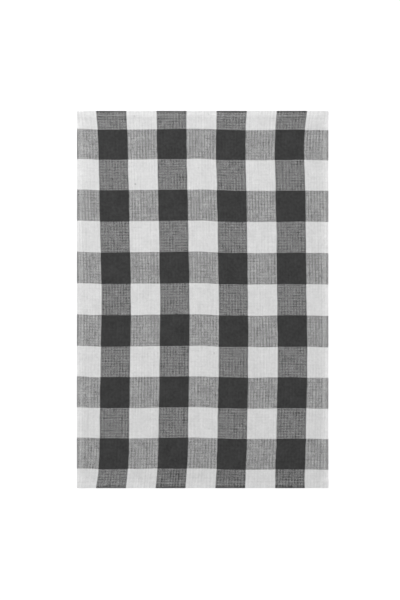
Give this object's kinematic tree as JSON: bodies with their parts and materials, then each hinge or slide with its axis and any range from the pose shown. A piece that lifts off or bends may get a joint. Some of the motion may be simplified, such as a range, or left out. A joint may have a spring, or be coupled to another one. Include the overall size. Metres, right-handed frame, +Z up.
{
  "type": "checked tea towel",
  "caption": "Flat rectangular cotton kitchen towel in a woven black-and-white check, hemmed all round and laid out face up, for drying dishes or lining a tray.",
  "frame": {"origin": "middle of the underside, where the towel rests on a table", "axes": "+Z up through the face, +Y along the length, +X across the width"},
  "size_m": [0.508, 0.762, 0.003],
  "materials": {
    "cotton": "matt plain-woven cotton in off-white and charcoal yarns that cross into a large square check with two mid greys"
  },
  "bodies": {
    "root": {"towel": "cotton"}
  },
  "joints": []
}
